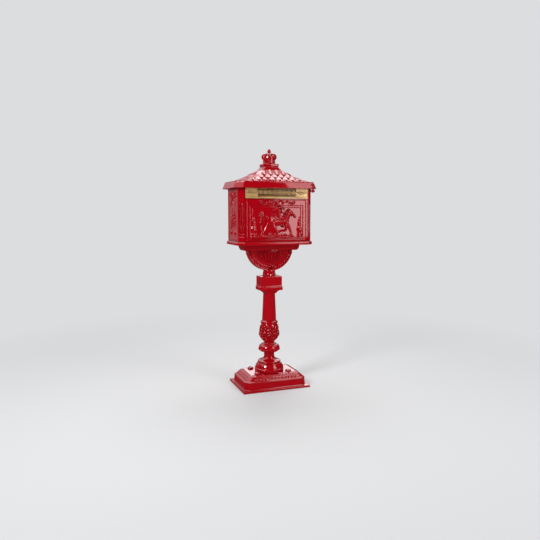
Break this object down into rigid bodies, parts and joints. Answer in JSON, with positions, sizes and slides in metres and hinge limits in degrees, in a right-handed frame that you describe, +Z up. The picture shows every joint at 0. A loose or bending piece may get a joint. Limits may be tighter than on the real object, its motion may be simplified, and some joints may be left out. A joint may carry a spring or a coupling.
{
  "type": "pedestal post box",
  "caption": "Cast letter box with canted corners, tiled roof and crown on a baluster column and stepped base, with a letter flap, a rear door and a cam lock.",
  "frame": {"origin": "middle of the base's underside, on the ground", "axes": "+Z up, -Y the front with the letter flap, +X to the right of someone who faces the front"},
  "size_m": [0.4248, 0.2678, 1.18],
  "materials": {
    "red_enamel": "gloss",
    "aged_brass": "satin",
    "steel": "satin",
    "zinc_plate": "satin"
  },
  "bodies": {
    "post_box": {"base": "red_enamel", "anchor_caps": "red_enamel", "lower_column": "red_enamel", "upper_column": "red_enamel", "bracket": "red_enamel", "tie_rod": "steel", "tie_rod_washers": "steel", "tie_rod_nuts": "steel", "floor_plate": "red_enamel", "front_left_post": "red_enamel", "front_right_post": "red_enamel", "rear_left_post": "red_enamel", "rear_right_post": "red_enamel", "floor_screws": "zinc_plate", "front_panel": "red_enamel", "left_side_panel": "red_enamel", "right_side_panel": "red_enamel", "rear_panel": "red_enamel", "panel_screws": "zinc_plate", "door_pin": "steel", "flap_pin": "red_enamel", "roof": "red_enamel", "roof_screws": "zinc_plate", "crown_finial": "red_enamel", "finial_washer": "steel", "finial_nut": "steel"},
    "flap": {"letter_flap": "aged_brass"},
    "door": {"rear_door": "red_enamel", "lock_housing": "zinc_plate", "lock_nut": "zinc_plate"},
    "lock": {"lock_plug": "zinc_plate", "lock_cam": "steel", "cam_screw": "steel"}
  },
  "joints": [
    {"name": "flap_hinge", "type": "hinge", "parent": "post_box", "child": "flap", "pos_m": [0, -0.1001, 0.975], "axis": [-1, 0, 0], "range_deg": [0, 70]},
    {"name": "door_hinge", "type": "hinge", "parent": "post_box", "child": "door", "pos_m": [-0.134, 0.1118, 0.849], "axis": [0, 0, 1], "range_deg": [0, 110]},
    {"name": "lock_turn", "type": "hinge", "parent": "door", "child": "lock", "pos_m": [0.105, 0.1113, 0.849], "axis": [0, -1, 0], "range_deg": [0, 90]}
  ]
}
